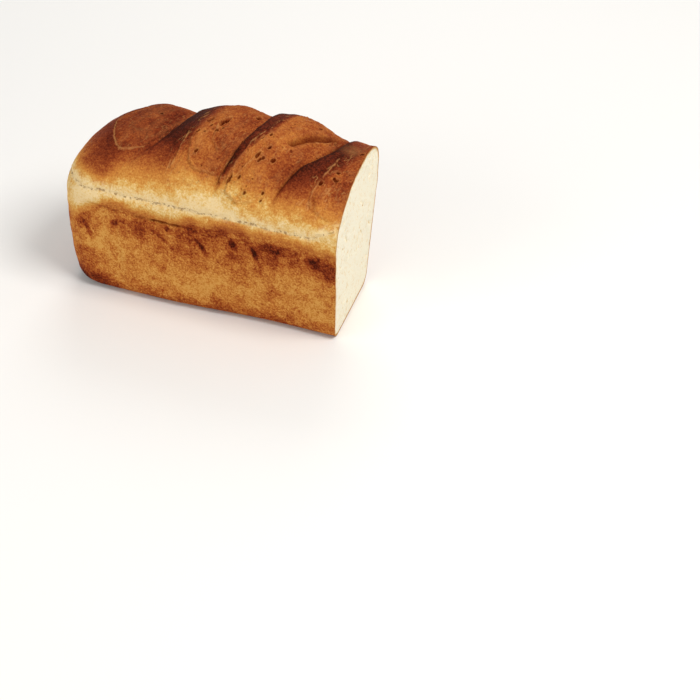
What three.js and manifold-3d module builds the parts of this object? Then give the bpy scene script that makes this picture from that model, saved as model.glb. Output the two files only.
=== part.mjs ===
// A white loaf baked in a long tin and cut across with a bread knife.
// Millimetres, +Z up. The loaf stands on its baked base, X runs along it, the baked end is at -X
// and the knife cut faces +X. The origin is the middle of the footprint, on the base.
// The dough rose over the tin's rim, tore along a line just above it and opened at four slashes.
import * as THREE from 'three';
import { mergeVertices } from 'three/addons/utils/BufferGeometryUtils.js';
import Module from 'manifold-3d';

// The part that took its shape from the tin.
const baseLength = 296;
const baseWidth = 98;
const rimWidth = 105;
const rimHeight = 81;
const endFlare = 2;
const endBulge = 3.5;
const crownSetback = 6; // how far the crown's end draws back from the end wall
const baseDrawIn = 12; // how much narrower the base is from the middle on, as the loaf cooled
const baseEdgeRadius = 10;
const cornerRadius = 26;

// The part that rose over the rim.
const tearHeight = 97;
const tearOverhang = 1.3;
const rollProud = 1.8;
const crownHeight = 149.5;
const crownDrop = 16; // how much lower the crown is where its end shoulders start
const shoulderLength = 76;
const crownFullness = 2.35; // 2 is an ellipse, more is squarer
const crownCornerGain = 38; // how much rounder the plan corners are at the top than in the tin
const crownLean = 3.5;

// The slashes, each given by where its valley crosses the crest, measured from mid length.
const slashValleys = [-71, -4, 51, 112];
const slashSlant = 0.2; // run along the loaf for each millimetre across it
const slashBow = 0.003; // curves each slash into a shallow arc
const valleyDepth = 5;
const humpHeight = 1.2;
const lipWidth = 13;
const reliefFade = 34; // height above the tear over which the slashes fade in

// The knife cut.
const keptLength = 221.5;
const knifeYaw = THREE.MathUtils.degToRad(6);
const knifeLean = THREE.MathUtils.degToRad(4);

// Mesh density. A half section is divided at these counts, from base centre to crest.
const baseSteps = 3;
const edgeSteps = 3;
const sideSteps = 5;
const rollSteps = 3;
const crownSteps = 10;
const wallRings = 4;
const shoulderRings = 9;
const bodyRings = 40;

const halfSteps = baseSteps + edgeSteps + sideSteps + rollSteps + crownSteps;
const ringCount = 2 * (wallRings + shoulderRings) + bodyRings;
const wallCentreHeight = tearHeight / 2;
const bodyHalf = baseLength / 2 - shoulderLength;

function ease(low, high, value) {
  const t = THREE.MathUtils.clamp((value - low) / (high - low), 0, 1);
  return t * t * (3 - 2 * t);
}

// The inset of a plan corner of this radius, at this distance in from the end wall.
function cornerInset(radius, distance) {
  const short = Math.max(0, radius - distance);
  return radius - Math.sqrt(radius * radius - short * short);
}

// How much the crown's side is proud of or below its smooth shape, at a place along and across.
function slashRelief(along, across) {
  const place = along - slashSlant * across + slashBow * across * across;
  const first = slashValleys[0] - (slashValleys[1] - slashValleys[0]);
  const last = slashValleys.at(-1) + (slashValleys.at(-1) - slashValleys.at(-2));
  const valleys = [first, ...slashValleys, last];
  for (let i = 0; i + 1 < valleys.length; i += 1) {
    if (place >= valleys[i] && place < valleys[i + 1]) {
      const width = valleys[i + 1] - valleys[i];
      const rise = ease(0, lipWidth, place - valleys[i]);
      const fall = 1 - ease(width * 0.45, width, place - valleys[i]);
      return (valleyDepth + humpHeight) * rise * fall - valleyDepth;
    }
  }
  return 0;
}

// Half width and height of the section at a step from the base centre (0) to the crest.
function sectionPoint(step, halfBase, crest) {
  const halfRim = rimWidth / 2;
  if (step <= baseSteps) {
    return [(halfBase - baseEdgeRadius) * step / baseSteps, 0];
  }
  step -= baseSteps;
  if (step <= edgeSteps) {
    const turn = step / edgeSteps * Math.PI / 2;
    const out = halfBase - baseEdgeRadius + baseEdgeRadius * Math.sin(turn);
    return [out, baseEdgeRadius * (1 - Math.cos(turn))];
  }
  step -= edgeSteps;
  if (step <= sideSteps) {
    const t = step / sideSteps;
    return [halfBase + (halfRim - halfBase) * t, baseEdgeRadius + (rimHeight - baseEdgeRadius) * t];
  }
  step -= sideSteps;
  if (step <= rollSteps) {
    const t = step / rollSteps;
    const swell = rollProud * Math.sin(Math.PI * t) + tearOverhang * t;
    return [halfRim + swell, rimHeight + (tearHeight - rimHeight) * t];
  }
  step -= rollSteps;
  const turn = step / crownSteps * Math.PI / 2;
  const power = 2 / crownFullness;
  const out = (halfRim + tearOverhang) * Math.max(0, Math.cos(turn)) ** power;
  return [step === crownSteps ? 0 : out, tearHeight + (crest - tearHeight) * Math.sin(turn) ** power];
}

// How far the end wall stands out past the base at this height.
function wallReach(height) {
  const low = Math.max(0, baseEdgeRadius - height);
  const edge = baseEdgeRadius - Math.sqrt(baseEdgeRadius ** 2 - low ** 2);
  const flare = endFlare * Math.min(1, height / rimHeight);
  const setback = crownSetback * ease(rimHeight, crownHeight, height);
  return flare - setback + endBulge * Math.sin(Math.PI * Math.min(1, height / tearHeight)) - edge;
}

// A point of the whole loaf. Ring 0 is the middle of one end wall and the last ring the other.
function loafPoint(ring, step, side) {
  const end = ring * 2 <= ringCount ? -1 : 1;
  const inward = end < 0 ? ring : ringCount - ring;
  const scale = Math.min(1, inward / wallRings);
  const shoulder = THREE.MathUtils.clamp((inward - wallRings) / shoulderRings, 0, 1);
  const distance = shoulderLength * (1 - Math.cos(shoulder * Math.PI / 2));
  const bodyShare = THREE.MathUtils.clamp((inward - wallRings - shoulderRings) / bodyRings, 0, 0.5);
  const station = end * (baseLength / 2 - distance - bodyShare * 2 * bodyHalf);
  const bodyPlace = THREE.MathUtils.clamp(station / bodyHalf, -1, 1);

  const shoulderRise = Math.sqrt(1 - (1 - distance / shoulderLength) ** 2);
  const fullCrest = crownHeight - crownDrop * bodyPlace ** 2;
  const crest = tearHeight + (fullCrest - tearHeight) * shoulderRise;
  const drawIn = baseDrawIn / 2 * ease(-1, 0.5, bodyPlace);
  let [out, height] = sectionPoint(step, baseWidth / 2 - drawIn, crest);

  const radius = cornerRadius + crownCornerGain * ease(rimHeight, crownHeight, height);
  out = Math.max(0, out * (1 - cornerInset(radius, distance) / (rimWidth / 2)));
  out *= scale;
  height = wallCentreHeight + (height - wallCentreHeight) * scale;

  const along = station + wallReach(height) * bodyPlace;
  let across = side * out;
  const above = ease(tearHeight, tearHeight + reliefFade, height);
  across += crownLean * above * shoulderRise;

  // The relief is along the section's own radius, so that it swells and dips as dough does.
  const relief = slashRelief(along, across) * above * ease(0, 1, shoulderRise);
  const centre = tearHeight - rimWidth / 4;
  const radial = new THREE.Vector2(across, height - centre).normalize();
  return [along, across + radial.x * relief, height + radial.y * relief];
}

// A sphere with its poles on the end walls, its vertices moved onto the loaf.
function wholeLoaf() {
  const geometry = new THREE.SphereGeometry(1, halfSteps * 2, ringCount);
  const position = geometry.getAttribute('position');
  const columns = halfSteps * 2 + 1;
  for (let i = 0; i < position.count; i += 1) {
    const ring = Math.floor(i / columns);
    const turn = i % columns;
    const side = turn <= halfSteps ? -1 : 1;
    const step = turn <= halfSteps ? turn : 2 * halfSteps - turn;
    position.setXYZ(i, ...loafPoint(ring, step, side));
  }
  geometry.deleteAttribute('normal');
  geometry.deleteAttribute('uv');
  return mergeVertices(geometry, 1e-4);
}

// A block whose -X face is the knife's plane. It is larger than anything it cuts off.
function knifeBlock() {
  const size = 2 * baseLength;
  const geometry = new THREE.BoxGeometry(size, size, size);
  geometry.translate(size / 2, 0, 0);
  geometry.rotateY(knifeLean);
  geometry.rotateZ(knifeYaw);
  geometry.translate(keptLength - baseLength / 2, 0, 0);
  geometry.deleteAttribute('normal');
  geometry.deleteAttribute('uv');
  return mergeVertices(geometry, 1e-4);
}

const wasm = await Module();
wasm.setup();

function toSolid(geometry) {
  return new wasm.Manifold(new wasm.Mesh({
    numProp: 3,
    vertProperties: Float32Array.from(geometry.getAttribute('position').array),
    triVerts: Uint32Array.from(geometry.index.array),
  }));
}

function toGeometry(solid) {
  const mesh = solid.getMesh();
  const geometry = new THREE.BufferGeometry();
  geometry.setAttribute('position', new THREE.BufferAttribute(mesh.vertProperties, 3));
  geometry.setIndex(new THREE.BufferAttribute(mesh.triVerts, 1));
  geometry.computeVertexNormals();
  return geometry;
}

function cutLoaf() {
  const geometry = toGeometry(toSolid(wholeLoaf()).subtract(toSolid(knifeBlock())));
  geometry.computeBoundingBox();
  const middle = geometry.boundingBox.getCenter(new THREE.Vector3());
  return geometry.translate(-middle.x, -middle.y, -geometry.boundingBox.min.z);
}

const crust = new THREE.MeshStandardMaterial({ color: 0xb5702f, roughness: 0.6, metalness: 0 });
const loaf = new THREE.Mesh(cutLoaf(), crust);
loaf.name = 'tin_loaf';

const part = new THREE.Group();
part.add(loaf);

export default part;
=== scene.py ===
import math

import bpy
import numpy as np
from mathutils import Matrix, Vector
from mathutils.geometry import delaunay_2d_cdt


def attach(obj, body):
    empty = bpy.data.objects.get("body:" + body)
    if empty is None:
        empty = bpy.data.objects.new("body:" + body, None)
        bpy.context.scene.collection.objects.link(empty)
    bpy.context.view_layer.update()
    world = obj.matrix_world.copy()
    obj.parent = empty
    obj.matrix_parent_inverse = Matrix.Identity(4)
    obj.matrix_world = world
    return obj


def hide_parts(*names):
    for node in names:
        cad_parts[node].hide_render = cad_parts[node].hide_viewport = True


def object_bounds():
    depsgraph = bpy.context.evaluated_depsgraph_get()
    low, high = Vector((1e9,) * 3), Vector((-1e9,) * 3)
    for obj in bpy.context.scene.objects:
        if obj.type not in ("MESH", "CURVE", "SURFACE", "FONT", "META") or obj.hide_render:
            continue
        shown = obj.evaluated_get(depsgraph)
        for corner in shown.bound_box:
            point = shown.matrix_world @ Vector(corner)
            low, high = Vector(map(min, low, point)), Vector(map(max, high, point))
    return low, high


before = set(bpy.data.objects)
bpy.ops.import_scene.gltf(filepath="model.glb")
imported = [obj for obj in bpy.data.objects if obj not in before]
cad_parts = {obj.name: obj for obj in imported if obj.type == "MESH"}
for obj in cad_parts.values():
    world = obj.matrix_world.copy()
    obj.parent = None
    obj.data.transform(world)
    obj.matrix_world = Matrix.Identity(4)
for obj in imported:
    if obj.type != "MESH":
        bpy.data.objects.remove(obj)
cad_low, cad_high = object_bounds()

# The loaf. White bread dough was set in a long tin: the base, the sides and the end took its flat
# walls, and above the rim the dough rose free, tore along a line and opened at four slashes. The
# loaf was knocked out of the tin, cooled, and cut across with a bread knife. Sizes are in mm.
MM = 0.001
base_length = 296.0
base_width = 98.0
base_draw_in = 12.0
rim_width = 105.0
rim_height = 81.0
end_flare = 2.0
end_bulge = 3.5
base_edge_radius = 10.0
corner_radius = 26.0

tear_height = 97.0
tear_overhang = 1.3
roll_proud = 1.8
crown_height = 149.5
crown_drop = 16.0
shoulder_length = 76.0
crown_fullness = 2.35
crown_corner_gain = 38.0
crown_setback = 6.0
crown_lean = 3.5
lean_fade = 34.0

kept_length = 221.5
knife_yaw = math.radians(6)
knife_lean = math.radians(4)
body_half = base_length / 2 - shoulder_length


def ease(low, high, value):
    """0 at low, 1 at high, with a smooth start and end."""
    t = np.clip((value - low) / (high - low), 0, 1)
    return t * t * (3 - 2 * t)


def knife_place(across, height):
    """How far along the loaf the knife's plane lies at this place of the section."""
    return (kept_length - base_length / 2 - across * math.tan(knife_yaw)
            + height * math.tan(knife_lean) / math.cos(knife_yaw))


def wall_reach(height):
    """How far the end wall stands out past the base at this height."""
    low = np.maximum(0, base_edge_radius - height)
    edge = base_edge_radius - np.sqrt(base_edge_radius ** 2 - low ** 2)
    flare = end_flare * np.minimum(1, height / rim_height)
    setback = crown_setback * ease(rim_height, crown_height, height)
    bulge = end_bulge * np.sin(np.pi * np.minimum(1, height / tear_height))
    return flare - setback + bulge - edge


# A half section is walked from the middle of the base, round the bottom edge, up the side,
# over the roll at the rim and up the crown to the crest, in these numbers of steps.
base_steps, edge_steps, side_steps, roll_steps, crown_steps = 8, 8, 48, 22, 78
half_steps = base_steps + edge_steps + side_steps + roll_steps + crown_steps
side_crowding = 1.25


def half_section(step, half_base, crest):
    """Half width and height at a step, for a section with this half base width and crest."""
    half_rim = rim_width / 2
    bounds = np.cumsum([base_steps, edge_steps, side_steps, roll_steps])
    on_base = np.clip(step / base_steps, 0, 1)
    on_edge = np.clip((step - bounds[0]) / edge_steps, 0, 1) * np.pi / 2
    on_side = 1 - (1 - np.clip((step - bounds[1]) / side_steps, 0, 1)) ** side_crowding
    on_roll = np.clip((step - bounds[2]) / roll_steps, 0, 1)
    on_crown = np.clip((step - bounds[3]) / crown_steps, 0, 1) * np.pi / 2
    power = 2 / crown_fullness
    crown_out = (half_rim + tear_overhang) * np.maximum(0, np.cos(on_crown)) ** power
    crown_out = np.where(step >= half_steps, 0, crown_out)
    out = np.select(
        [step <= bounds[0], step <= bounds[1], step <= bounds[2], step <= bounds[3]],
        [(half_base - base_edge_radius) * on_base,
         half_base - base_edge_radius * (1 - np.sin(on_edge)),
         half_base + (half_rim - half_base) * on_side,
         half_rim + roll_proud * np.sin(np.pi * on_roll) + tear_overhang * on_roll],
        crown_out)
    height = np.select(
        [step <= bounds[0], step <= bounds[1], step <= bounds[2], step <= bounds[3]],
        [np.zeros_like(out),
         base_edge_radius * (1 - np.cos(on_edge)),
         base_edge_radius + (rim_height - base_edge_radius) * on_side,
         rim_height + (tear_height - rim_height) * on_roll],
        tear_height + (crest - tear_height) * np.sin(on_crown) ** power)
    return out, height


def corner_inset(radius, distance):
    """The inset of a plan corner of this radius, at this distance in from the end wall."""
    short = np.maximum(0, radius - distance)
    return radius - np.sqrt(radius ** 2 - short ** 2)


# The loaf is ringed from the middle of its baked end wall, round the shoulder and along the
# body to the knife's plane. Each ring starts and ends at the middle of the base.
wall_rings, shoulder_rings, body_rings = 18, 50, 186
ring_count = wall_rings + shoulder_rings + body_rings + 1
loop_count = 2 * half_steps
ring = np.arange(ring_count)[:, None].astype(float)
turn = np.arange(loop_count)[None, :].astype(float)
side = np.where(turn <= half_steps, -1.0, 1.0)
step = np.where(turn <= half_steps, turn, 2 * half_steps - turn)

scale = np.minimum(1, ring / wall_rings)
shoulder = np.clip((ring - wall_rings) / shoulder_rings, 0, 1)
distance = shoulder_length * (1 - np.cos(shoulder * np.pi / 2))
body_share = np.clip((ring - wall_rings - shoulder_rings) / body_rings, 0, 1)
shoulder_rise = np.sqrt(1 - (1 - distance / shoulder_length) ** 2)

along = np.broadcast_to(-base_length / 2 + distance, (ring_count, loop_count)).copy()
along = along + body_share * (kept_length - base_length / 2 + body_half)
# How full a ring is depends on where it lies, and where it lies on how full it is, so the walk is
# repeated until both settle.
for settle in range(4):
    body_place = np.clip(along / body_half, -1, 1)
    crest = crown_height - crown_drop * body_place ** 2
    crest = tear_height + (crest - tear_height) * shoulder_rise
    draw_in = base_draw_in / 2 * ease(-1, 0.5, body_place)
    out, height = half_section(step, base_width / 2 - draw_in, crest)
    radius = corner_radius + crown_corner_gain * ease(rim_height, crown_height, height)
    out = np.maximum(0, out * (1 - corner_inset(radius, distance) / (rim_width / 2)))
    out = out * scale
    height = tear_height / 2 + (height - tear_height / 2) * scale
    lean_share = ease(tear_height, tear_height + lean_fade, height)
    across = side * out + crown_lean * lean_share * shoulder_rise
    reach = wall_reach(height)
    start = -base_length / 2 - reach + distance
    along = start + (knife_place(across, height) - start) * body_share
smooth_loaf = np.stack([along, across, height], axis=-1)


# The four slashes. Each is a strip where the dough's skin opened and new, rougher dough rose. Its
# far edge is a deep valley tucked under the lip of the next strip of skin.
# valley: where its bottom crosses the crest; slant and bow: how it runs off square; width: of the
# opening, which widens by widening for each mm across; soft: mm over which its near edge fades in;
# square: how square its outline is; near, far: how many degrees down each side it reaches.
slashes = [
    dict(valley=-69.5, slant=0.33, bow=0.0043, width=54.0, widening=0.7,
         soft=1.0, square=2.3, near=31.0, far=36.0),
    dict(valley=-1.5, slant=0.15, bow=0.0030, width=50.0, widening=0.0,
         soft=15.0, square=4.0, near=49.0, far=47.0),
    dict(valley=54.0, slant=0.29, bow=0.0039, width=45.0, widening=0.0,
         soft=7.0, square=4.0, near=53.0, far=50.0),
    dict(valley=113.0, slant=0.27, bow=0.0038, width=44.0, widening=0.0,
         soft=9.0, square=4.0, near=55.0, far=50.0),
]
valley_depth = 5.0
hump_height = 1.2
lip_lean = 1.9
lip_width = 9.0
first_slash_reach = 66.0
mm_per_degree = 1.31


def noise3(points, size, seed):
    """Smooth value noise from -1 to 1 with this grain size, the same on every run."""
    cell = points / size
    low = np.floor(cell).astype(np.int64)
    part = cell - low
    part = part * part * (3 - 2 * part)
    total = np.zeros(points.shape[:-1])
    for corner in range(8):
        pick = np.array([corner & 1, corner >> 1 & 1, corner >> 2 & 1])
        at = low + pick
        mixed = (at[..., 0] * 73856093) ^ (at[..., 1] * 19349663) ^ (at[..., 2] * 83492791)
        mixed = mixed ^ (seed * 2654435761)
        mixed = (mixed ^ (mixed >> 13)) * 1274126177
        mixed = (mixed ^ (mixed >> 16)) & 0xFFFF
        weight = np.prod(np.where(pick == 1, part, 1 - part), axis=-1)
        total += weight * (mixed / 32767.5 - 1)
    return total


def layered(points, size, seed, layers=3):
    """Noise with finer layers added, each half as strong."""
    total = np.zeros(points.shape[:-1])
    for layer in range(layers):
        total += noise3(points, size / 2 ** layer, seed + layer) / 2 ** layer
    return total / 1.6


points = smooth_loaf.copy()
place = along + 1.6 * layered(points, 24.0, 11)
crown_middle = tear_height - rim_width / 4
tilt = np.degrees(np.arctan2(across, np.maximum(0.1, height - crown_middle)))
girth = tilt * mm_per_degree
on_crown = ease(tear_height + 6, tear_height + 38, height) * ease(0, 1, shoulder_rise)

opened = np.zeros_like(along)
pale_edge = np.zeros_like(along)
hairs = np.zeros_like(along)
lip = np.zeros_like(along)
valley_line = np.zeros_like(along)
valley_gap = np.full_like(along, 15.0)
valley_strength = np.zeros_like(along)
outline_gap = np.full_like(along, 9.0)
relief = np.zeros_like(along)
toward_valley = np.zeros_like(along)
tuck = np.zeros_like(along)
lip_past = np.full_like(along, 99.0)
end_slash = slashes[0]
start = end_slash["valley"] - first_slash_reach + end_slash["slant"] * across
start = start - end_slash["bow"] * across ** 2
valleys_at = []
for number, slash in enumerate(slashes):
    is_first, is_last = number == 0, number == len(slashes) - 1
    line = slash["valley"] + slash["slant"] * across - slash["bow"] * across ** 2
    since, gap = place - start, line - start
    rise = np.ones_like(since) if is_first else 0.65 * ease(0, 4.5, since) + 0.35 * ease(0, 16, since)
    fall = 1 - ease(0.45 * gap, gap, since)
    inside = (since >= 0) & (place < line)
    relief = np.where(inside, (valley_depth + hump_height) * rise * fall - valley_depth, relief)

    width = np.clip(slash["width"] + slash["widening"] * across, 12, 60)
    run = (place - line + width) / width
    down = np.where(tilt < 0, -tilt / slash["near"], tilt / slash["far"])
    closing = np.where(run < 0.5, 1, ease(0.45, 0.95, down))
    shape = 1 - closing * np.abs(1 - 2 * np.clip(run, -1, 1)) ** slash["square"]
    shape = shape - np.maximum(0, down) ** (slash["square"] * 0.9)
    opening = ease(0.0, 0.12, shape) if is_first else ease(0.0, slash["soft"], run * width)
    opening = opening * ease(1.0, 0.84, down) * ease(-0.3, 0.9, line - place)
    inward = shape * width / (slash["square"] * 2)
    thin = np.exp(-((inward - 0.5) / (0.7 if is_first else 2.4)) ** 2) * (run < 0.9)
    settled = ease(0.2, 0.9, run) - 0.5 * ease(0.5, 0.1, np.abs(run - 0.35))
    toward_valley = np.where(opening > opened, settled, toward_valley)
    opened = np.maximum(opened, opening)
    if is_first:
        outline_gap = np.where(run > 0.9, 9, np.clip(inward, -9, 9))
        pale_edge = thin
    else:
        hairs = np.maximum(hairs, thin)
    past = place - line
    reach = ease(0.98, 0.55, down)
    if not is_last:
        lip = np.maximum(lip, np.exp(-np.maximum(0, past) / lip_width) * (past > -0.5) * reach)
        lip_past = np.where(past > -0.5, past, lip_past)
        nearest = (np.abs(past) < 15) & (past > -6)
        valley_gap = np.where(nearest, past, valley_gap)
        valley_strength = np.where(nearest, reach, valley_strength)
        valley_line = np.maximum(valley_line, np.exp(-((past + 0.6) / 1.3) ** 2) * reach)
        tuck = np.maximum(tuck, ease(0, 2.2, past) * (1 - ease(3, 10, past)) * reach)
    start = line
    valleys_at.append(line)

# The valleys lie along the dough's radius; the lips lean back over them.
radial = np.stack([np.zeros_like(along), across, height - crown_middle], axis=-1)
radial /= np.maximum(1e-6, np.linalg.norm(radial, axis=-1, keepdims=True))
points += radial * (relief * on_crown)[..., None]
points[..., 0] -= lip_lean * tuck * on_crown


def surface_normals(grid):
    """Outward normals of the ringed surface."""
    round_loop = np.roll(grid, -1, axis=1) - np.roll(grid, 1, axis=1)
    ringwise = np.gradient(grid, axis=0)
    normal = np.cross(ringwise, round_loop)
    length = np.linalg.norm(normal, axis=-1, keepdims=True)
    normal = normal / np.maximum(length, 1e-9)
    normal[0] = (-1, 0, 0)
    return normal


normal = surface_normals(points)

# Unevenness of the whole loaf: slow swells, small lumps on the crown, and shallow wrinkles where
# the dough folded against the tin.
flat_place = points * (1, 1, 0)
above_tear = ease(tear_height - 2, tear_height + 6, height)
on_side = (1 - ease(rim_height - 3, rim_height + 3, height)) * ease(2, 12, height)
bump = 0.8 * layered(points, 30.0, 21) * ease(6, 20, height)
bump += 0.30 * layered(points, 9.0, 31) * above_tear
drape = layered(points * (1, 1, 0.35), 7.0, 46)
bump += (0.60 * layered(points, 14.0, 41) + 0.34 * layered(points, 4.0, 51) + 0.35 * drape) * on_side

# The torn line round the loaf, a ragged seam pricked with small holes.
tear_line = tear_height + 0.6 + 1.0 * layered(flat_place, 34.0, 61) + 0.7 * noise3(flat_place, 6.0, 62)
tear_line = tear_line + 10.0 * ease(62, 86, along)
from_tear = height - tear_line
seam_strength = ease(-0.9, 0.0, noise3(flat_place, 15.0, 63)) * ease(90, 70, along)
seam = np.exp(-(from_tear / 1.2) ** 2) * seam_strength
bump -= 0.35 * seam + 1.3 * seam * np.clip(noise3(points, 3.0, 71), 0, 1)
bump += 0.75 * np.exp(-((from_tear - 1.6) / 2.6) ** 2) * layered(points, 3.0, 72)

# The tin's rim: above this line the crust is pale, below it the tin browned it.
rim_line = np.interp(along, [-140, -121, -103, -84, -51, -34, 20, 45, 80],
                     [66, 79, 86, 82, 79, 87, 87, 90, 84])
rim_line = rim_line + 1.6 * layered(flat_place, 26.0, 81) + 2.2 * layered(points, 5.0, 82)
from_rim = height - rim_line
crease_line = height - (80.5 - 0.05 * (along + 64) + 1.2 * noise3(flat_place, 14.0, 84))
crease_strength = ease(-88, -76, along) * ease(-36, -50, along) * (across < 0)
crease_strength += 0.35 * ease(0.15, 0.6, layered(flat_place, 26.0, 83)) * (1 - crease_strength)
crease_strength *= ease(-1.0, 0.0, noise3(flat_place, 9.0, 85))
crease = np.exp(-(crease_line / 1.1) ** 2) * crease_strength
bump -= 1.4 * crease

# Stretch marks run up the openings, where the new dough pulled as it rose.
upward = ease(tear_height + 8, tear_height + 16, height)
stretch = points * (1, 0.22, 0.22)
stretch[..., 0] = place - 0.25 * across
ridges = layered(stretch, 4.6, 91)
ridge_lines = np.exp(-(noise3(stretch, 5.5, 93) / 0.16) ** 2)
bump += opened * on_crown * (0.55 * ridges + 0.45 * ridge_lines + 0.35 * layered(points, 4.0, 95))
pale_edge = pale_edge * ease(-0.9, 0.0, noise3(points, 5.0, 96))
bump += 0.55 * pale_edge * upward - 0.35 * np.exp(-((pale_edge - 0.35) / 0.12) ** 2) * upward

# Burst bubbles in the openings: how far along and round from the crest each lies, its length up
# the stretch, its width, and its depth. The big ones have their places, and clusters of small ones
# are scattered around them.
bubbles = [
    (-40, 0, 2.4, 1.8, 2.2), (-28, 0, 4.6, 1.7, 2.6), (-44, -15, 1.6, 1.2, 1.5),
    (-38, -33, 1.6, 1.2, 1.5), (-8, 17, 1.9, 1.4, 1.6), (12, -28, 2.6, 0.9, 1.4),
    (-5, -50, 4.2, 0.8, 1.3), (73, -26, 1.7, 1.2, 1.5), (78, 17, 1.8, 1.3, 1.5),
]
clusters = [
    # middle along and round, half length, half girth, how many
    (-36, -12, 10, 14, 5), (18, -20, 9, 16, 7), (10, -52, 14, 10, 4), (68, -30, 7, 20, 4),
    (-88, 5, 9, 14, 4), (30, 40, 14, 18, 5),
]
scatter = np.random.default_rng(5)
for patch_along, patch_girth, half_along, half_girth, count in clusters:
    for small in range(count):
        size = scatter.uniform(0.8, 1.4)
        bubbles.append((patch_along + half_along * scatter.uniform(-1, 1),
                        patch_girth + half_girth * scatter.uniform(-1, 1),
                        size * scatter.uniform(1.0, 1.5), 0.8 * size, 1.1 * size))
bubble_slant = 0.28
hole = np.zeros_like(along)
bubble_wall = np.full_like(along, 3.0)
for bubble_along, bubble_girth, length, width, deep in bubbles:
    up = girth - bubble_girth
    aside = along - bubble_along - bubble_slant * up
    wall = np.sqrt((aside / width) ** 2 + (up / length) ** 2) / 1.2
    bubble_wall = np.minimum(bubble_wall, wall + 3 * (1 - upward))
    dent = (1 - ease(0.35, 1.25, wall)) * upward
    hole = np.maximum(hole, dent)
    bump -= 1.3 * deep * dent - 0.25 * deep * np.exp(-((wall - 1.45) / 0.3) ** 2) * upward

# Grooves pulled open: a long one in the third opening, a curled one low in the fourth. Raised
# strands of stretched skin run up the near edges of the openings. Both wander a little.
wander_along = along + 1.7 * layered(points, 9.0, 97)
wander_girth = girth + 1.7 * layered(points, 9.0, 197)


def near_path(stops):
    """Distance from each place of the crown to a path given as (along, round from the crest)."""
    best = np.full_like(along, 1e9)
    for (a0, g0), (a1, g1) in zip(stops[:-1], stops[1:]):
        step_a, step_g = a1 - a0, g1 - g0
        off_a, off_g = wander_along - a0, wander_girth - g0
        t = np.clip((off_a * step_a + off_g * step_g) / (step_a ** 2 + step_g ** 2), 0, 1)
        best = np.minimum(best, np.hypot(off_a - t * step_a, off_g - t * step_g))
    return best


pulled = near_path([(31, -8), (35, 0), (45, 18), (52, 29)])
curled = near_path([(61, -48), (65, -60), (76, -65)])
pulled_groove = np.exp(-(pulled / 2.4) ** 2) * upward
curled_groove = np.exp(-(curled / 1.1) ** 2)
bump -= 3.4 * pulled_groove + 0.6 * curled_groove
strands = [
    [(-52, -15), (-52, -40), (-55, -50)],
    [(-46, -22), (-42, -40), (-35, -46), (-20, -46)],
    [(-31, -5), (-30, -20), (-23, -28)],
    [(8, -5), (0, -30), (-6, -46), (-5, -60), (5, -65), (15, -63), (22, -56)],
    [(14, -20), (8, -35), (-2, -50)],
    [(-8, -30), (-13, -40), (-12, -52)],
    [(43, 5), (48, 14), (54, 25)],
    [(66, 0), (62, -38), (60, -50), (63, -58)],
]
strand = np.zeros_like(along)
strand_gap = np.full_like(along, 9.0)
for stops in strands:
    wavering = near_path(stops)
    strand_gap = np.minimum(strand_gap, wavering)
    strand = np.maximum(strand, np.exp(-(wavering / 0.9) ** 2))
    bump -= 0.8 * np.exp(-((wavering - 2.1) / 1.1) ** 2)
strand = strand * ease(-0.9, 0.0, noise3(points, 8.0, 98))
bump += 1.2 * strand

# Where the fourth opening meets the knife, its skin is a thin net of wrinkles.
net_place = np.exp(-(((along - 76) / 7) ** 2 + ((girth + 42) / 8) ** 2)) * upward
net = np.exp(-(noise3(points, 3.6, 99) / 0.14) ** 2) * net_place
bump += 0.9 * net - 0.5 * net_place * noise3(points, 3.0, 100)

bump -= 1.5 * valley_line * on_crown
base_hold = ease(0.0, 2.0, height)
points += normal * (bump * base_hold)[..., None]
points[..., 2] = np.maximum(points[..., 2], 0.0)
points[-1, :, 0] = knife_place(points[-1, :, 1], points[-1, :, 2])

# The cut face lies on the knife's plane, meshed evenly inside the last ring of the crust.
outline = points[-1]
cut_spacing = 0.94


def inside_outline(flat, loop):
    """Which flat points lie inside a closed loop."""
    hit = np.zeros(len(flat), bool)
    start = loop
    end = np.roll(loop, -1, axis=0)
    for (x0, y0), (x1, y1) in zip(start, end):
        spans = (y0 > flat[:, 1]) != (y1 > flat[:, 1])
        slope = (x1 - x0) / (y1 - y0 if y1 != y0 else 1e-12)
        hit ^= spans & (flat[:, 0] < x0 + slope * (flat[:, 1] - y0))
    return hit


def nearest_edge(flat, loop):
    """Distance from flat points to a closed loop."""
    best = np.full(len(flat), 1e9)
    for a, b in zip(loop, np.roll(loop, -1, axis=0)):
        edge = b - a
        t = np.clip(((flat - a) @ edge) / max(edge @ edge, 1e-12), 0, 1)
        best = np.minimum(best, np.linalg.norm(flat - (a + t[:, None] * edge), axis=1))
    return best


loop = outline[:, 1:3]
low, high = loop.min(axis=0), loop.max(axis=0)
rows = np.arange(low[1], high[1], cut_spacing * math.sqrt(3) / 2)
columns = np.arange(low[0], high[0], cut_spacing)
grid = np.array([(x + (0.5 * cut_spacing if k % 2 else 0), y)
                 for k, y in enumerate(rows) for x in columns])
grid = grid[inside_outline(grid, loop)]
grid = grid[nearest_edge(grid, loop) > 0.55 * cut_spacing]
flat = np.concatenate([loop, grid])
edges = [(i, (i + 1) % loop_count) for i in range(loop_count)]
found = delaunay_2d_cdt([Vector(p) for p in flat], edges, [], 1, 1e-6)
cut_flat = np.array([tuple(v) for v in found[0]])
cut_faces = [tuple(f) for f in found[2]]
origin_of = [o[0] if o else -1 for o in found[3]]
cut_depth = nearest_edge(cut_flat, loop)

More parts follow.
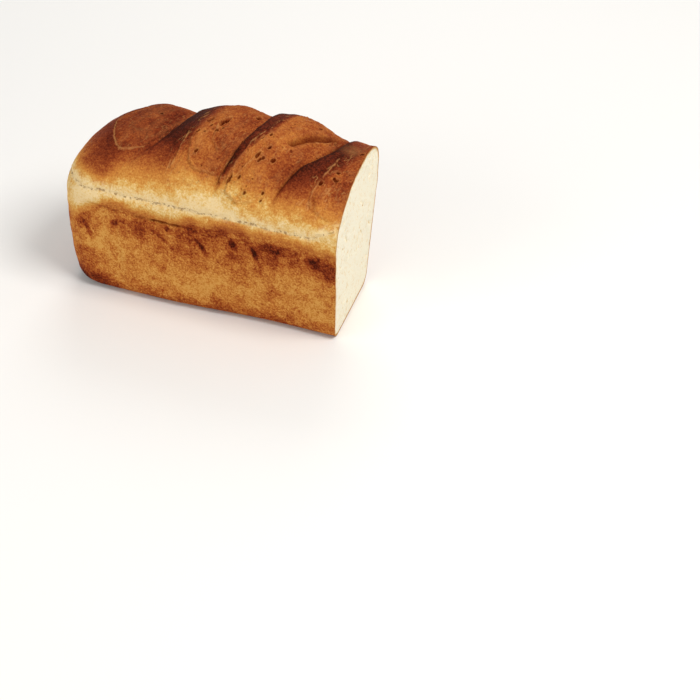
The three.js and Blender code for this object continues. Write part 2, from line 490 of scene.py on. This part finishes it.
crumb = np.column_stack([knife_place(cut_flat[:, 0], cut_flat[:, 1]), cut_flat])
knife_normal = np.array([1.0, math.tan(knife_yaw), -math.tan(knife_lean)])
knife_normal /= np.linalg.norm(knife_normal)
free = ease(0.0, 2.5, cut_depth)
torn = 0.22 * layered(crumb * (1, 0.3, 1), 2.6, 211) + 0.5 * layered(crumb, 30.0, 215)
pick = np.random.default_rng(7)
small_pores = 64
pores = [(-21, 22, 4.2, 1.9, 0.5, 2.4), (17, 62, 3.0, 1.6, 1.9, 1.9), (29, 108, 2.6, 1.7, 0.9, 1.7),
         (-30, 88, 2.4, 1.5, 2.4, 1.5), (4, 131, 2.2, 1.5, 0.2, 1.4)]
for pore in range(small_pores):
    size = 0.8 + 1.1 * pick.random() ** 2
    pores.append((pick.uniform(-44, 44), pick.uniform(8, 142), size * pick.uniform(1.1, 1.8), size,
                  pick.uniform(0, 3.1), 0.9 * size))
pore_mask = np.zeros(len(crumb))
for pore_across, pore_height, long, wide, angle, deep in pores:
    a, h = cut_flat[:, 0] - pore_across, cut_flat[:, 1] - pore_height
    u = (a * math.cos(angle) + h * math.sin(angle)) / long
    v = (h * math.cos(angle) - a * math.sin(angle)) / wide
    wall = np.sqrt(u ** 2 + v ** 2) + 0.25 * noise3(crumb, 2.0, 221)
    inner = 1 - ease(0.5, 1.2, wall)
    pore_mask = np.maximum(pore_mask, inner * min(1, deep / 1.4))
    torn -= deep * inner
crumb += knife_normal * (torn * free)[:, None]

# One closed mesh of both: the pole of the end wall, the crust's rings, and the cut face.
crust_points = points[1:].reshape(-1, 3)
pole = len(crust_points)
around = np.arange(loop_count)
quads = []
for r in range(ring_count - 2):
    here, beside = r * loop_count + around, r * loop_count + (around + 1) % loop_count
    quads.append(np.stack([here, beside, beside + loop_count, here + loop_count], axis=1))
quads = np.concatenate(quads)
fan = [(int((i + 1) % loop_count), int(i), pole) for i in around]
# A corner of the cut face on the crust's last ring is that ring's own point.
last_ring = (ring_count - 2) * loop_count
kept = np.array([o < 0 or o >= loop_count for o in origin_of])
renumber = np.cumsum(kept) - 1
to_mesh = [pole + 1 + int(renumber[i]) if kept[i] else last_ring + o for i, o in enumerate(origin_of)]
vertices = np.concatenate([crust_points, points[0, :1], crumb[kept]])
cut_polygons = [tuple(to_mesh[i] for i in face) for face in cut_faces]

shift = np.zeros(3)
smooth_low = smooth_loaf.reshape(-1, 3).min(axis=0)
smooth_high = smooth_loaf.reshape(-1, 3).max(axis=0)
shift[0] = cad_low[0] / MM - smooth_low[0]
shift[1] = (cad_low[1] + cad_high[1]) / 2 / MM - (smooth_low[1] + smooth_high[1]) / 2
placed = (vertices + shift) * MM

mesh = bpy.data.meshes.new("loaf")
faces = [tuple(q) for q in quads.tolist()] + fan + cut_polygons
mesh.from_pydata(placed.tolist(), [], faces)
loaf = bpy.data.objects.new("loaf", mesh)
bpy.context.scene.collection.objects.link(loaf)


def store(name, crust_values, crumb_values=None):
    """Keeps a value for each point of the mesh, for the materials to read."""
    values = np.zeros(len(placed), np.float32)
    whole = np.broadcast_to(crust_values, (ring_count, loop_count))
    values[:pole] = whole[1:].reshape(-1)
    values[pole] = whole[0].mean()
    if crumb_values is not None:
        values[pole + 1:] = crumb_values[kept]
    layer = mesh.attributes.new(name, "FLOAT", "POINT")
    layer.data.foreach_set("value", values)


# How far each place of the crust baked, from 0 (cream) to 1 (near black), with painted shade added
# low on the baked end. The roll between the rim and the tear is pale gold, the crown darkens upwards
# and most at the lips of the slashes.
warp = layered(points, 24.0, 301)
patch = layered(points, 9.0, 305)
rise_above = height - tear_height + 2.0 * warp + 1.0 * patch
rise_above = rise_above + 12.0 * ease(-90, -114, along) * ease(100, 111, height)
skin = np.interp(rise_above, [0, 8, 12, 17, 21, 25, 31, 37, 60],
                 [0.08, 0.13, 0.21, 0.30, 0.39, 0.51, 0.68, 0.82, 0.84])
lip_top = np.exp(-np.maximum(0, lip_past) / 4.0) * ease(128, 146, height) * (lip > 0.3)
near_side = across < 0
skin = skin - 0.18 * ease(128, 112, height) * np.exp(-((along + 24) / 24) ** 2) * near_side
skin = skin + 0.04 * ease(130, 140, height) + 0.05 * ease(131, 137, height) * ease(146, 140, height)
skin = skin + 0.06 * lip_top * on_crown
skin = skin + 0.09 * ease(118, 134, height) * np.exp(-((place - valleys_at[0] - 5) / 9) ** 2)
young = np.interp(rise_above, [8, 14, 20, 26, 32, 38, 48], [0.10, 0.15, 0.26, 0.42, 0.52, 0.58, 0.56])
young = young + 0.20 * ease(-62, -78, along) + 0.12 * patch + 0.21 * ease(50, 62, along)
young = young - 0.18 * ease(-62, -78, along) * ease(128, 114, height)
young = young + ease(56, 66, along) * (0.07 * ease(128, 118, height) - 0.09 * ease(126, 132, height))
young = young + 0.06 * toward_valley * on_crown - 0.02
young = young - 0.27 * ease(130, 114, height) * np.exp(-((along + 24) / 22) ** 2)
young = young + 0.02 * ease(124, 132, height) * ease(0, 12, along)
young = young + 0.05 * ease(138, 145, height) * ease(4, -6, along) * ease(-64, -54, along)
young = np.minimum(young, skin + 0.02)
crown_bake = skin + (young - skin) * opened
under = np.interp(-from_rim, [-12, -9, -6, -3, 0, 3, 8, 15, 20, 30, 45, 60],
                  [0.08, 0.15, 0.27, 0.41, 0.52, 0.57, 0.59, 0.56, 0.51, 0.43, 0.37, 0.34])
# Darker towards the bottom of the side.
under = under + ease(20, 3, height) * 0.20
under = under + 0.08 * warp + 0.13 * patch + 0.07 * drape * ease(0, 10, -from_rim)
at_end = ease(-114, -138, along)
under = under + at_end * (0.13 + 0.16 * layered(points, 16.0, 313) + 0.10 * ease(6, 0, np.abs(from_tear)))
# Painted shade: low on the baked end the crust is darkened as shade under the end's bulge, and above that
# the end is made lighter.
under = under + ease(-98, -116, along) * (0.28 * ease(26, 8, height) - 0.18 * ease(26, 50, height))
under = under + 0.12 * ease(5, 40, along) * ease(56, 66, height) * ease(2, 8, -from_rim)
burnt = np.zeros_like(along)
scorch_marks = [
    # along, height, length, width, lean, how dark
    (-28, 66, 9, 3.2, 0.6, 1.0), (-1, 73, 6, 3.4, 0.4, 1.0), (18, 68, 9, 2.6, 0.25, 1.0),
    (-58, 62, 9, 3.0, 0.9, 0.55), (-14, 54, 4, 2.0, 0.3, 0.6), (-56, 75, 3, 2.6, -0.2, 0.8),
    (-126, 55, 11, 4.0, 0.4, 0.6), (37, 77, 5, 8.0, 0.2, 0.5), (68, 75, 6, 10.0, 0.4, 0.45),
    (-100, 69, 6, 6.0, -0.3, 0.5), (52, 60, 4, 3.5, 0.8, 0.5),
]
for spot_along, spot_height, long, wide, lean, scorch in scorch_marks:
    down = spot_height - height
    aside = along - spot_along - lean * down
    burnt = np.maximum(burnt, scorch * np.exp(-(aside / wide) ** 2 - (down / long) ** 2))
burnt = ease(0.22, 0.80, burnt + 0.40 * layered(points, 5.0, 311))
under = under + 0.36 * burnt
scorched = ease(-0.10, 0.14, layered(points * (1, 1, 0.6), 11.0, 315)) - 0.5
under = under + 0.13 * scorched * ease(-3, 2, -from_rim) * ease(36, 8, -from_rim)
bake_and_shade = np.where(height < tear_height, under, crown_bake)
bake_and_shade = bake_and_shade + 0.16 * layered(points, 4.5, 317) * ease(90, 98, height) * ease(120, 108, height)
store("bake_and_shade", np.clip(bake_and_shade, 0, 1))
store("opened", opened * on_crown)
pale_lines_and_sheen = 0.5 * net + 0.12 * ridge_lines * opened * on_crown
# Painted sheen: a pale patch high on the crown near the knife stands in for a glossy reflection.
painted_sheen_patch = np.exp(-(((along - 70) / 6) ** 2 + ((girth - 20) / 8) ** 2)) * ease(-0.9, 0.2, patch)
pale_lines_and_sheen = pale_lines_and_sheen + 0.45 * painted_sheen_patch
store("pale_edge", np.clip(pale_lines_and_sheen, 0, 1))
hairs = (hairs + 0.45 * opened + 0.8 * net_place) * (1 - 0.9 * lip)
store("hairs", np.clip(hairs, 0, 1) * upward)
# Painted shade: the burst bubbles and the pulled and curled grooves are darkened in colour, as shade in
# them.
store("shade", np.clip(0.30 * hole + 0.85 * pulled_groove + 0.30 * curled_groove, 0, 1))
store("seam_gap", np.clip(from_tear, -9, 9))
store("seam_strength", 0.35 + 0.65 * seam_strength)
store("valley_gap", np.clip(valley_gap, -6, 15))
store("valley_strength", valley_strength * on_crown)
store("outline_gap", outline_gap)
store("outline_strength", ease(24, 4, across))
store("crease_gap", np.clip(crease_line, -9, 9))
store("crease_strength", np.clip(crease_strength, 0, 1))
store("bubble_wall", np.minimum(bubble_wall, 3.0))
store("strand_gap", np.clip(strand_gap, -9, 9))
store("flaky", ease(6.5, 0.5, np.abs(from_tear - 2.0)) * ease(-0.9, 0.2, noise3(points, 8.0, 321)))
store("tin_side", ease(2.0, -3.0, from_rim))
store("cut_depth", 0.0, cut_depth)
store("pore", 0.0, pore_mask)

# The loaf laid flat like a paper net, so that finished maps can be made for it: the sides and the
# crown unroll into one sheet, and the end wall and the cut face lie beside it, a little enlarged.
ring_gap = np.linalg.norm(np.diff(points[wall_rings:], axis=0), axis=-1).mean(axis=1)
turn_gap = np.linalg.norm(np.roll(points, -1, axis=1) - points, axis=-1)
turn_gap = turn_gap[wall_rings + shoulder_rings:].mean(axis=0)
unrolled_along = np.concatenate([[0], np.cumsum(ring_gap)])
unrolled_round = np.concatenate([[0], np.cumsum(turn_gap)])
sheet_gap = 4.0
sheet_size = unrolled_round[-1] + 2 * sheet_gap
enlarged = 1.7
flat_places = (vertices[:, 1:3] - vertices[:, 1:3].min(axis=0)) * enlarged
beside_sheet = np.array([unrolled_along[-1] + 2 * sheet_gap, 0.0])
quad_ring, quad_turn = np.divmod(np.arange(len(quads)), loop_count)
since_wall = np.maximum(0, quad_ring + 1 - wall_rings)
near_u, far_u = unrolled_along[since_wall], unrolled_along[since_wall + 1]
near_v, far_v = unrolled_round[quad_turn], unrolled_round[quad_turn + 1]
on_sheet = np.stack([near_u, near_v, near_u, far_v, far_u, far_v, far_u, near_v], axis=1).reshape(-1, 4, 2)
on_wall = (quad_ring + 1 < wall_rings)[:, None, None]
quad_net = np.where(on_wall, flat_places[quads] + beside_sheet, on_sheet)
fan_net = flat_places[np.array(fan).reshape(-1)] + beside_sheet
above_wall = beside_sheet + (0, flat_places[:pole, 1].max() * 0.68 + sheet_gap)
cut_net = flat_places[[corner for face in cut_polygons for corner in face]] + above_wall
net_places = (np.concatenate([quad_net.reshape(-1, 2), fan_net, cut_net]) + sheet_gap) / sheet_size
net_map = mesh.uv_layers.new(name="OFBake")
net_map.data.foreach_set("uv", net_places.astype(np.float32).reshape(-1))

mesh.polygons.foreach_set("use_smooth", np.ones(len(mesh.polygons), bool))
material_index = np.zeros(len(mesh.polygons), np.int32)
material_index[len(quads) + len(fan):] = 1
mesh.polygons.foreach_set("material_index", material_index)
mesh.update()


# The crust. The baked skin of the loaf, grown in one with the crumb under it: cream where the dough
# stretched last, gold and red brown where the oven and the tin browned it, near black at the lips.
# Flakes lie along the torn seam, and pinholes and fine hairlines mark the openings. Shade in the
# holes, valleys and crease and a sheen high on the crown are painted into the colour.
crust = bpy.data.materials.new("crust")
crust.use_nodes = True
tree = crust.node_tree
nodes, links = tree.nodes, tree.links
nodes.clear()


def node(kind, **values):
    """A shader node of this kind, with these settings."""
    made = nodes.new(kind)
    for key, value in values.items():
        setattr(made, key, value)
    return made


def math_node(operation, first, second=None, third=None):
    """One sum on up to three numbers or sockets."""
    made = node("ShaderNodeMath", operation=operation)
    for socket, value in zip(made.inputs, (first, second, third)):
        if value is None:
            continue
        if hasattr(value, "links"):
            links.new(value, socket)
        else:
            socket.default_value = value
    return made.outputs[0]


def ramp(value, stops):
    """Colours run from one to the next as a value rises, each given with the value it stands at."""
    made = node("ShaderNodeValToRGB")
    made.color_ramp.elements.remove(made.color_ramp.elements[1])
    made.color_ramp.elements[0].position = stops[0][0]
    made.color_ramp.elements[0].color = (*stops[0][1], 1)
    for position, colour in stops[1:]:
        element = made.color_ramp.elements.new(position)
        element.color = (*colour, 1)
    links.new(value, made.inputs[0])
    return made.outputs[0]


def attribute(name):
    """A value that store() keeps on the mesh."""
    return node("ShaderNodeAttribute", attribute_name=name).outputs["Fac"]


def noise(scale, detail=4.0, roughness=0.55, distortion=0.0):
    """Mottling from 0 to 1, finer as the scale rises."""
    made = node("ShaderNodeTexNoise")
    made.inputs["Scale"].default_value = scale
    made.inputs["Detail"].default_value = detail
    made.inputs["Roughness"].default_value = roughness
    made.inputs["Distortion"].default_value = distortion
    links.new(coordinates, made.inputs["Vector"])
    return made.outputs["Fac"]


coordinates = node("ShaderNodeTexCoord").outputs["Object"]


def paint(red, green, blue):
    """A colour as a painter's 0 to 255 swatch, made linear."""
    swatch = [value / 255 for value in (red, green, blue)]
    return tuple(v / 12.92 if v <= 0.04045 else ((v + 0.055) / 1.055) ** 2.4 for v in swatch)


def smooth_range(value, low, high):
    """0 at low and 1 at high, or falling where low is the greater, with soft ends."""
    made = node("ShaderNodeMapRange", interpolation_type="SMOOTHSTEP")
    made.inputs["From Min"].default_value = low
    made.inputs["From Max"].default_value = high
    links.new(value, made.inputs["Value"])
    return made.outputs[0]


tin_side = attribute("tin_side")
opened_value = attribute("opened")
flaky = attribute("flaky")
ripple = math_node("SUBTRACT", noise(260, 3, 0.6), 0.5)


def off(name, amount=0.0, waver=1.6):
    """Distance from a line drawn on the crust, in mm, made to waver a little."""
    away = math_node("SUBTRACT", attribute(name), amount)
    away = math_node("ADD", away, math_node("MULTIPLY", ripple, waver))
    return math_node("ABSOLUTE", away)


valley_strength = attribute("valley_strength")
past_valley = math_node("ADD", attribute("valley_gap"), math_node("MULTIPLY", ripple, 1.2))
on_lip = math_node("MULTIPLY", smooth_range(past_valley, -0.7, 0.3), smooth_range(past_valley, 7.0, 0.5))
on_lip = math_node("MULTIPLY", on_lip, valley_strength)
# Painted shadow: a dark line along each valley, where the lip above it would throw its shadow.
valley_shadow = math_node("MULTIPLY", smooth_range(off("valley_gap", -0.4, 1.0), 1.7, 0.2), valley_strength)
# Painted shade in the crease under the roll at the tin's rim.
crease_shade = smooth_range(off("crease_gap"), 1.4, 0.2)
crease_shade = math_node("MULTIPLY", crease_shade, attribute("crease_strength"))
# Painted shade inside the burst bubbles.
bubble_edge = math_node("ADD", attribute("bubble_wall"), math_node("MULTIPLY", ripple, 0.9))
bubble_shade = smooth_range(bubble_edge, 1.10, 0.70)
# Painted highlight: a paler ring round each burst bubble, as light catching its rim.
bubble_rim_highlight = smooth_range(math_node("ABSOLUTE", math_node("SUBTRACT", bubble_edge, 1.35)), 0.25, 0.05)
patches = math_node("SUBTRACT", noise(120, 6, 0.62, 0.4), 0.5)
blotches = math_node("SUBTRACT", noise(330, 4, 0.6), 0.5)
speckle = math_node("SUBTRACT", noise(700, 3, 0.7), 0.5)
patch_share = math_node("ADD", 0.22, math_node("MULTIPLY", tin_side, 0.40))
speckle_share = math_node("ADD", 0.66, math_node("MULTIPLY", tin_side, 0.46))
# The bake read here also holds the painted shade low on the baked end.
baked = math_node("ADD", attribute("bake_and_shade"), math_node("MULTIPLY", patches, patch_share))
blotch_share = math_node("ADD", 0.30, math_node("MULTIPLY", tin_side, 0.12))
baked = math_node("ADD", baked, math_node("MULTIPLY", blotches, blotch_share))
baked = math_node("ADD", baked, math_node("MULTIPLY", speckle, speckle_share))
baked = math_node("ADD", baked, math_node("MULTIPLY", on_lip, 0.22))
baked = math_node("SMOOTH_MAX", baked, math_node("MULTIPLY", tin_side, 0.22), 0.06)
skin_colour = ramp(baked, [
    (0.00, paint(236, 208, 156)),
    (0.10, paint(226, 188, 116)),
    (0.20, paint(216, 162, 83)),
    (0.30, paint(204, 138, 64)),
    (0.40, paint(192, 120, 54)),
    (0.50, paint(176, 102, 47)),
    (0.60, paint(155, 78, 36)),
    (0.70, paint(132, 58, 28)),
    (0.80, paint(109, 42, 21)),
    (0.90, paint(84, 30, 15)),
    (1.00, paint(54, 19, 9)),
])
ruddy = node("ShaderNodeMix", data_type="RGBA", blend_type="MULTIPLY")
links.new(math_node("MULTIPLY", tin_side, smooth_range(baked, 0.36, 0.60)), ruddy.inputs["Factor"])
links.new(skin_colour, ruddy.inputs["A"])
ruddy.inputs["B"].default_value = (1.0, 0.89, 0.80, 1)
leaning = node("ShaderNodeVectorRotate", rotation_type="Z_AXIS")
links.new(coordinates, leaning.inputs["Vector"])
leaning.inputs["Angle"].default_value = math.radians(15)
pulled_out = node("ShaderNodeVectorMath", operation="MULTIPLY")
links.new(leaning.outputs[0], pulled_out.inputs[0])
pulled_out.inputs[1].default_value = (1.0, 0.24, 0.30)
strand_noise = node("ShaderNodeTexNoise")
strand_noise.inputs["Scale"].default_value = 210
strand_noise.inputs["Detail"].default_value = 3
strand_noise.inputs["Distortion"].default_value = 0.6
links.new(pulled_out.outputs[0], strand_noise.inputs["Vector"])
off_line = math_node("ABSOLUTE", math_node("SUBTRACT", strand_noise.outputs["Fac"], 0.5))
hairline = smooth_range(off_line, 0.030, 0.006)
hairline = math_node("MULTIPLY", hairline, smooth_range(noise(160, 2), 0.42, 0.56))
hairline = math_node("MULTIPLY", hairline, attribute("hairs"))
paler = node("ShaderNodeMix", data_type="RGBA")
outline = smooth_range(off("outline_gap", 0.6, 2.4), 0.9, 0.1)
outline = math_node("MULTIPLY", outline, smooth_range(noise(120, 2), 0.20, 0.44))
strand_line = smooth_range(off("strand_gap", 0.0, 2.0), 0.9, 0.0)
strand_line = math_node("MULTIPLY", strand_line, smooth_range(noise(150, 2), 0.34, 0.58))
# The pale lines read from the mesh also carry the painted sheen patch.
edge_share = math_node("MULTIPLY", attribute("pale_edge"), 0.60)
edge_share = math_node("MAXIMUM", edge_share, math_node("MULTIPLY", hairline, 0.45))
outline = math_node("MULTIPLY", outline, attribute("outline_strength"))
edge_share = math_node("MAXIMUM", edge_share, math_node("MULTIPLY", outline, 0.36))
edge_share = math_node("MAXIMUM", edge_share, math_node("MULTIPLY", strand_line, 0.46))
edge_share = math_node("MAXIMUM", edge_share, math_node("MULTIPLY", bubble_rim_highlight, 0.22))
links.new(edge_share, paler.inputs["Factor"])
links.new(ruddy.outputs["Result"], paler.inputs["A"])
paler.inputs["B"].default_value = (*paint(216, 156, 92), 1)
floury = node("ShaderNodeMix", data_type="RGBA")
flakes = math_node("MULTIPLY", smooth_range(noise(560, 3, 0.7), 0.40, 0.54), flaky)
seam_flour = smooth_range(off("seam_gap", 0.3, 2.0), 2.2, 0.8)
seam_flour = math_node("MULTIPLY", seam_flour, smooth_range(noise(450, 3, 0.7), 0.36, 0.50))
flakes = math_node("MAXIMUM", flakes, math_node("MULTIPLY", seam_flour, 0.9))
links.new(math_node("MULTIPLY", flakes, 0.75), floury.inputs["Factor"])
links.new(paler.outputs["Result"], floury.inputs["A"])
floury.inputs["B"].default_value = (*paint(240, 214, 164), 1)

# Pinholes: small round ones scattered over the openings, ragged ones pricked along the torn seam,
# with painted shade in them.
spots = node("ShaderNodeTexVoronoi")
spots.inputs["Scale"].default_value = 300
links.new(coordinates, spots.inputs["Vector"])
chosen = node("ShaderNodeSeparateColor")
links.new(spots.outputs["Color"], chosen.inputs[0])
few = math_node("GREATER_THAN", chosen.outputs[0], 0.84)
round_hole = math_node("MULTIPLY", smooth_range(spots.outputs["Distance"], 0.26, 0.10), few)
round_hole = math_node("MULTIPLY", round_hole, opened_value)
ragged = smooth_range(noise(480, 2, 0.5), 0.53, 0.62)
seam_hole = math_node("MULTIPLY", ragged, smooth_range(off("seam_gap", 0.0, 1.0), 1.6, 0.6))
seam_hole = math_node("MULTIPLY", seam_hole, attribute("seam_strength"))
pinhole = math_node("MAXIMUM", round_hole, seam_hole)
# Painted shade: the pinholes, the valleys, the crease, the burst bubbles and the holes and grooves stored
# as shade darken the colour towards a deep brown.
shade = math_node("MAXIMUM", attribute("shade"), math_node("MULTIPLY", pinhole, 0.62))
shade = math_node("MAXIMUM", shade, math_node("MULTIPLY", valley_shadow, 0.85))
shade = math_node("MAXIMUM", shade, math_node("MULTIPLY", crease_shade, 1.0))
shade = math_node("MAXIMUM", shade, math_node("MULTIPLY", bubble_shade, 0.95))
dark = node("ShaderNodeMix", data_type="RGBA", blend_type="MULTIPLY")
links.new(shade, dark.inputs["Factor"])
links.new(floury.outputs["Result"], dark.inputs["A"])
dark.inputs["B"].default_value = (0.36, 0.19, 0.12, 1)
surface = node("ShaderNodeBsdfPrincipled")
links.new(dark.outputs["Result"], surface.inputs["Base Color"])
gloss = math_node("ADD", 0.60, math_node("MULTIPLY", opened_value, 0.16))
gloss = math_node("ADD", gloss, math_node("MULTIPLY", tin_side, 0.10))
gloss = math_node("ADD", gloss, math_node("MULTIPLY", flaky, 0.20))
gloss = math_node("ADD", gloss, math_node("MULTIPLY", speckle, 0.40))
links.new(gloss, surface.inputs["Roughness"])
surface.inputs["Specular IOR Level"].default_value = 0.03
surface.inputs["Specular Tint"].default_value = (1.0, 0.80, 0.60, 1)
grain = math_node("ADD", math_node("MULTIPLY", noise(1300, 3, 0.6), 0.6), noise(450, 4, 0.65))
grain = math_node("ADD", grain, math_node("MULTIPLY", edge_share, 0.7))
grain = math_node("SUBTRACT", grain, math_node("MULTIPLY", bubble_shade, 1.2))
grain = math_node("SUBTRACT", grain, math_node("MULTIPLY", crease_shade, 1.5))
grain = math_node("SUBTRACT", grain, math_node("MULTIPLY", pinhole, 0.8))
bump_node = node("ShaderNodeBump")
bump_node.inputs["Strength"].default_value = 0.9
bump_node.inputs["Distance"].default_value = 0.0011
links.new(grain, bump_node.inputs["Height"])
links.new(bump_node.outputs[0], surface.inputs["Normal"])
output = node("ShaderNodeOutputMaterial")
links.new(surface.outputs[0], output.inputs[0])
mesh.materials.append(crust)

# The crumb. Soft white bread that the knife laid bare: small uneven holes between fine strands,
# with the crust's gold edge round it. It is one piece with the crust and shares its mesh.
crumb_material = bpy.data.materials.new("crumb")
crumb_material.use_nodes = True
tree = crumb_material.node_tree
nodes, links = tree.nodes, tree.links
nodes.clear()
coordinates = node("ShaderNodeTexCoord").outputs["Object"]
depth = attribute("cut_depth")
cloud = math_node("SUBTRACT", noise(220, 4, 0.6), 0.5)
wobble = node("ShaderNodeTexNoise")
wobble.inputs["Scale"].default_value = 500
links.new(coordinates, wobble.inputs["Vector"])
bent = node("ShaderNodeVectorMath", operation="MULTIPLY_ADD")
links.new(wobble.outputs["Color"], bent.inputs[0])
bent.inputs[1].default_value = (0.0016, 0.0016, 0.0016)
links.new(coordinates, bent.inputs[2])


def pore_layer(scale, rarity, size):
    """Irregular holes: one in some of the cells of this scale, of random width."""
    cells = node("ShaderNodeTexVoronoi")
    cells.inputs["Scale"].default_value = scale
    links.new(bent.outputs[0], cells.inputs["Vector"])
    split = node("ShaderNodeSeparateColor")
    links.new(cells.outputs["Color"], split.inputs[0])
    chance = smooth_range(split.outputs[0], rarity, 1.0)
    reach = math_node("MULTIPLY", math_node("ADD", chance, 0.12), size)
    inner = math_node("SUBTRACT", reach, cells.outputs["Distance"])
    return smooth_range(inner, -0.06, 0.16)


fine_pores = pore_layer(900, 0.1, 0.55)
middle_pores = pore_layer(420, 0.55, 0.60)
wide_pores = pore_layer(170, 0.80, 0.34)
strands = smooth_range(noise(700, 3, 0.7, 0.8), 0.40, 0.68)
# Painted shade: the pores are made darker in colour, as shade inside them.
hollow = math_node("MULTIPLY", fine_pores, 0.30)
hollow = math_node("ADD", hollow, math_node("MULTIPLY", middle_pores, 0.38))
hollow = math_node("ADD", hollow, math_node("MULTIPLY", wide_pores, 0.45))
hollow = math_node("ADD", hollow, math_node("MULTIPLY", attribute("pore"), 0.75))
hollow = math_node("SUBTRACT", hollow, math_node("MULTIPLY", strands, 0.30))
crumb_value = math_node("ADD", hollow, math_node("MULTIPLY", cloud, 0.5))
crumb_colour = ramp(crumb_value, [
    (0.00, paint(255, 247, 224)),
    (0.25, paint(252, 239, 209)),
    (0.50, paint(245, 226, 185)),
    (0.75, paint(231, 203, 152)),
    (1.00, paint(208, 172, 116)),
])
edge_value = math_node("ADD", depth, math_node("MULTIPLY", cloud, 1.6))
edge_colour = ramp(math_node("MULTIPLY", edge_value, 0.25), [
    (0.02, paint(178, 112, 56)),
    (0.14, paint(200, 140, 76)),
    (0.38, paint(216, 168, 100)),
    (0.75, paint(236, 214, 168)),
])
edge_share = smooth_range(edge_value, 1.0, 3.4)
mix = node("ShaderNodeMix", data_type="RGBA")
links.new(edge_share, mix.inputs["Factor"])
links.new(edge_colour, mix.inputs["A"])
links.new(crumb_colour, mix.inputs["B"])
surface = node("ShaderNodeBsdfPrincipled")
links.new(mix.outputs["Result"], surface.inputs["Base Color"])
surface.inputs["Roughness"].default_value = 0.95
surface.inputs["Specular IOR Level"].default_value = 0.05
bump_node = node("ShaderNodeBump")
bump_node.inputs["Strength"].default_value = 0.7
bump_node.inputs["Distance"].default_value = 0.0008
crumb_height = math_node("SUBTRACT", math_node("MULTIPLY", strands, 0.6), hollow)
links.new(crumb_height, bump_node.inputs["Height"])
links.new(bump_node.outputs[0], surface.inputs["Normal"])
output = node("ShaderNodeOutputMaterial")
links.new(surface.outputs[0], output.inputs[0])
mesh.materials.append(crumb_material)

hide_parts("tin_loaf")
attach(loaf, "root")

# The floor: a plain pale sheet.
floor_mesh = bpy.data.meshes.new("floor")
floor_mesh.from_pydata([(-6, -6, 0), (6, -6, 0), (6, 6, 0), (-6, 6, 0)], [], [(0, 1, 2, 3)])
floor = bpy.data.objects.new("floor", floor_mesh)
bpy.context.scene.collection.objects.link(floor)
floor_material = bpy.data.materials.new("floor")
floor_material.use_nodes = True
floor_surface = floor_material.node_tree.nodes["Principled BSDF"]
floor_surface.inputs["Base Color"].default_value = (0.84, 0.83, 0.81, 1)
floor_surface.inputs["Roughness"].default_value = 0.9
floor_mesh.materials.append(floor_material)
floor.location.z = -0.0002


# Soft studio light: a large key above and to the right, a weaker one on the left, and a pale sky.
def softbox(name, place, target, size, power, colour):
    """A square lamp of this size and power, turned to its target."""
    light = bpy.data.lights.new(name, "AREA")
    light.shape = "SQUARE"
    light.size = size
    light.energy = power
    light.color = colour
    made = bpy.data.objects.new(name, light)
    bpy.context.scene.collection.objects.link(made)
    made.location = place
    made.rotation_euler = (Vector(target) - Vector(place)).to_track_quat("-Z", "Y").to_euler()


middle = (0.0, 0.0, 0.07)
softbox("key", (1.0, -0.25, 1.45), middle, 0.8, 22, (1.0, 0.985, 0.96))
softbox("side", (1.5, 0.2, 0.6), middle, 0.6, 1.6, (1.0, 0.985, 0.96))
softbox("fill", (-0.9, -1.5, 0.8), middle, 1.1, 12.5, (1.0, 0.985, 0.965))
softbox("back", (-0.4, 1.2, 1.1), middle, 0.8, 8, (1.0, 0.99, 0.97))
world = bpy.data.worlds.new("studio")
bpy.context.scene.world = world
world.use_nodes = True
world.node_tree.nodes["Background"].inputs["Color"].default_value = (1.0, 1.0, 1.0, 1)
world.node_tree.nodes["Background"].inputs["Strength"].default_value = 0.36
bpy.context.scene.view_settings.view_transform = "Standard"

# The camera looks down on the loaf from its front right, past the cut end.
camera_place = Vector((0.652, -1.271, 0.991))
camera_target = Vector((0.127, -0.0485, 0.0))
camera_roll = math.radians(-0.44)
camera_data = bpy.data.cameras.new("camera")
camera_data.lens = 112
camera_data.sensor_width = 36
camera_data.clip_end = 20
camera = bpy.data.objects.new("camera", camera_data)
bpy.context.scene.collection.objects.link(camera)
look = (camera_target - camera_place).to_track_quat("-Z", "Y").to_matrix().to_4x4()
camera.matrix_world = Matrix.Translation(camera_place) @ look @ Matrix.Rotation(camera_roll, 4, "Z")
bpy.context.scene.camera = camera
